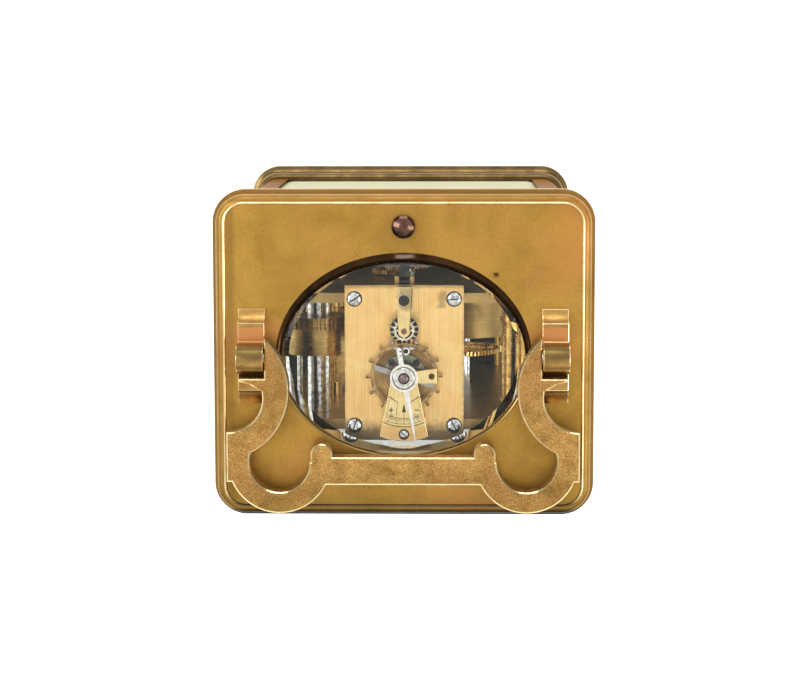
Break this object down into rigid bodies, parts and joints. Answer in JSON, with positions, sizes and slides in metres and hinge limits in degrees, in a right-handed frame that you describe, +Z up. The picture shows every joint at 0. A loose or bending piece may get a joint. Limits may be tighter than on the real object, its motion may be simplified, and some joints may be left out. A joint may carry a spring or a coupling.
{
  "type": "carriage clock",
  "caption": "Glazed brass travelling clock with a folding handle, a push button, an oval top window over a balance platform, a rear door, and a spring-driven going and striking movement.",
  "frame": {"origin": "middle of the base's underside", "axes": "+Z up, -Y toward the dial side, +X to the clock's right as seen from the dial side"},
  "size_m": [0.093, 0.08, 0.1416],
  "materials": {
    "case_brass": "aged polished",
    "bracket_brass": "polished",
    "grained_brass": "grained matte",
    "movement_brass": "satin",
    "pale_brass": "brushed gilt",
    "steel": "polished",
    "blued_steel": "blued",
    "bevelled_glass": "clear",
    "enamel": "glossy enamel"
  },
  "bodies": {
    "case": {"base_moulding": "case_brass", "pillar_front_left": "case_brass", "pillar_front_right": "case_brass", "pillar_rear_left": "case_brass", "pillar_rear_right": "case_brass", "top_frame": "case_brass", "top_glass": "bevelled_glass", "front_glass": "bevelled_glass", "left_glass": "bevelled_glass", "right_glass": "bevelled_glass", "base_screws": "steel", "handle_bracket_left": "bracket_brass", "handle_bracket_right": "bracket_brass", "repeat_spring": "steel", "dial": "enamel", "dial_mask": "pale_brass", "dial_posts": "movement_brass", "front_plate": "movement_brass", "rear_plate": "movement_brass", "movement_pillars": "pale_brass", "mainsprings": "steel", "gong": "blued_steel", "gong_block": "movement_brass", "platform": "pale_brass", "platform_screws": "steel", "escape_cocks": "pale_brass", "balance_cock": "pale_brass"},
    "door": {"door_frame": "case_brass", "door_glass": "bevelled_glass", "door_knob": "bracket_brass"},
    "handle": {"handle": "grained_brass", "handle_pivot_screws": "steel"},
    "repeat_button": {"repeat_button": "grained_brass"},
    "repeat_lever": {"repeat_lever": "steel"},
    "minute_hand": {"minute_hand": "blued_steel", "cannon_pinion": "steel"},
    "minute_wheel": {"minute_wheel": "movement_brass"},
    "hour_hand": {"hour_hand": "blued_steel", "hour_wheel": "movement_brass"},
    "third_wheel": {"third_wheel": "movement_brass"},
    "centre_wheel": {"centre_wheel": "movement_brass"},
    "intermediate_wheel": {"intermediate_wheel": "movement_brass"},
    "going_barrel": {"going_barrel": "movement_brass"},
    "contrate_wheel": {"contrate_wheel": "movement_brass"},
    "escape_wheel": {"escape_wheel": "pale_brass"},
    "pin_wheel": {"pin_wheel": "movement_brass"},
    "strike_second_wheel": {"strike_second_wheel": "movement_brass"},
    "strike_barrel": {"strike_barrel": "movement_brass"},
    "fly": {"fly": "pale_brass"},
    "pallet_lever": {"pallet_lever": "steel"},
    "balance": {"balance": "pale_brass", "hairspring": "blued_steel"},
    "regulator": {"regulator": "steel"},
    "hammer": {"hammer": "steel"},
    "going_arbor": {"going_arbor": "steel"},
    "strike_arbor": {"strike_arbor": "steel"},
    "alarm_barrel": {"alarm_barrel": "movement_brass"},
    "alarm_arbor": {"alarm_arbor": "steel"},
    "going_click": {"going_click": "steel"},
    "strike_click": {"strike_click": "steel"}
  },
  "joints": [
    {"name": "door_hinge", "type": "hinge", "parent": "case", "child": "door", "pos_m": [0.0335, 0.0351, 0.066], "axis": [0, 0, 1], "range_deg": [-95, 0]},
    {"name": "handle_pivot", "type": "hinge", "parent": "case", "child": "handle", "pos_m": [0, 0, 0.138], "axis": [1, 0, 0], "range_deg": [0, 180]},
    {"name": "button_press", "type": "slide", "parent": "case", "child": "repeat_button", "axis": [0, 0, -1], "range_m": [0, 0.002], "stiffness_N_per_m": 150, "springref_m": -0.002, "deforming": ["repeat_spring"]},
    {"name": "repeat_lever_turn", "type": "hinge", "parent": "case", "child": "repeat_lever", "pos_m": [0, -0.0164, 0.1138], "axis": [1, 0, 0], "range_deg": [0, 8]},
    {"name": "minute_hand_turn", "type": "hinge", "parent": "case", "child": "minute_hand", "pos_m": [0, 0, 0.074], "axis": [0, 1, 0], "continuous": true},
    {"name": "minute_wheel_turn", "type": "hinge", "parent": "case", "child": "minute_wheel", "pos_m": [0.0036, 0, 0.06776], "axis": [0, 1, 0], "continuous": true},
    {"name": "hour_hand_turn", "type": "hinge", "parent": "case", "child": "hour_hand", "pos_m": [0, 0, 0.074], "axis": [0, 1, 0], "continuous": true},
    {"name": "third_wheel_turn", "type": "hinge", "parent": "case", "child": "third_wheel", "pos_m": [-0.00209, 0, 0.08792], "axis": [0, 1, 0], "continuous": true},
    {"name": "centre_wheel_turn", "type": "hinge", "parent": "case", "child": "centre_wheel", "pos_m": [0, 0, 0.074], "axis": [0, 1, 0], "continuous": true},
    {"name": "intermediate_wheel_turn", "type": "hinge", "parent": "case", "child": "intermediate_wheel", "pos_m": [-0.01213, 0, 0.06497], "axis": [0, 1, 0], "continuous": true},
    {"name": "going_barrel_turn", "type": "hinge", "parent": "case", "child": "going_barrel", "pos_m": [-0.0152, 0, 0.0487], "axis": [0, 1, 0], "continuous": true},
    {"name": "contrate_wheel_turn", "type": "hinge", "parent": "case", "child": "contrate_wheel", "pos_m": [0, 0, 0.1005], "axis": [0, 1, 0], "continuous": true},
    {"name": "escape_wheel_turn", "type": "hinge", "parent": "case", "child": "escape_wheel", "pos_m": [0, -0.0049, 0.115], "axis": [0, 0, 1], "continuous": true},
    {"name": "pin_wheel_turn", "type": "hinge", "parent": "case", "child": "pin_wheel", "pos_m": [0.01808, 0, 0.07813], "axis": [0, 1, 0], "continuous": true},
    {"name": "strike_second_wheel_turn", "type": "hinge", "parent": "case", "child": "strike_second_wheel", "pos_m": [0.01808, 0, 0.06501], "axis": [0, 1, 0], "continuous": true},
    {"name": "strike_barrel_turn", "type": "hinge", "parent": "case", "child": "strike_barrel", "pos_m": [0.0152, 0, 0.0487], "axis": [0, 1, 0], "continuous": true},
    {"name": "fly_turn", "type": "hinge", "parent": "case", "child": "fly", "pos_m": [0.01973, 0, 0.0875], "axis": [0, 1, 0], "continuous": true},
    {"name": "pallet_swing", "type": "hinge", "parent": "case", "child": "pallet_lever", "pos_m": [0, -0.00015, 0.12], "axis": [0, 0, 1], "range_deg": [-5, 5]},
    {"name": "balance_swing", "type": "hinge", "parent": "case", "child": "balance", "pos_m": [0, 0.0063, 0.121], "axis": [0, 0, 1], "range_deg": [-150, 150], "stiffness_Nm_per_rad": 0.000007},
    {"name": "regulator_swing", "type": "hinge", "parent": "case", "child": "regulator", "pos_m": [0, 0.0063, 0.125], "axis": [0, 0, 1], "range_deg": [-25, 5]},
    {"name": "hammer_swing", "type": "hinge", "parent": "case", "child": "hammer", "pos_m": [0.028, 0, 0.084], "axis": [0, 1, 0], "range_deg": [-6, 1], "stiffness_Nm_per_rad": 0.0005},
    {"name": "going_arbor_turn", "type": "hinge", "parent": "case", "child": "going_arbor", "pos_m": [-0.0152, 0, 0.0487], "axis": [0, 1, 0], "continuous": true},
    {"name": "strike_arbor_turn", "type": "hinge", "parent": "case", "child": "strike_arbor", "pos_m": [0.0152, 0, 0.0487], "axis": [0, 1, 0], "continuous": true},
    {"name": "alarm_barrel_turn", "type": "hinge", "parent": "case", "child": "alarm_barrel", "pos_m": [0.022, 0, 0.104], "axis": [0, 1, 0], "continuous": true},
    {"name": "alarm_arbor_turn", "type": "hinge", "parent": "case", "child": "alarm_arbor", "pos_m": [0.022, 0, 0.104], "axis": [0, 1, 0], "continuous": true},
    {"name": "going_click_lift", "type": "hinge", "parent": "case", "child": "going_click", "pos_m": [-0.02073, 0.0214, 0.04211], "axis": [0, 1, 0], "range_deg": [0, 12], "stiffness_Nm_per_rad": 0.0002, "springref_deg": -5.73},
    {"name": "strike_click_lift", "type": "hinge", "parent": "case", "child": "strike_click", "pos_m": [0.02073, 0.0214, 0.04211], "axis": [0, -1, 0], "range_deg": [0, 12], "stiffness_Nm_per_rad": 0.0002, "springref_deg": -5.73}
  ],
  "couplings": [
    {"joint": "repeat_lever_turn", "follows": "button_press", "rad_per_m": 67.114},
    {"joint": "minute_wheel_turn", "follows": "minute_hand_turn", "ratio": -0.33333},
    {"joint": "hour_hand_turn", "follows": "minute_hand_turn", "ratio": 0.083333},
    {"joint": "centre_wheel_turn", "follows": "third_wheel_turn", "ratio": -0.1},
    {"joint": "intermediate_wheel_turn", "follows": "third_wheel_turn", "ratio": 0.016667},
    {"joint": "going_barrel_turn", "follows": "third_wheel_turn", "ratio": -0.0025},
    {"joint": "contrate_wheel_turn", "follows": "third_wheel_turn", "ratio": -7.5},
    {"joint": "escape_wheel_turn", "follows": "third_wheel_turn", "ratio": 60},
    {"joint": "strike_second_wheel_turn", "follows": "pin_wheel_turn", "ratio": -0.13889},
    {"joint": "strike_barrel_turn", "follows": "pin_wheel_turn", "ratio": 0.020833},
    {"joint": "fly_turn", "follows": "pin_wheel_turn", "ratio": -7.5}
  ]
}
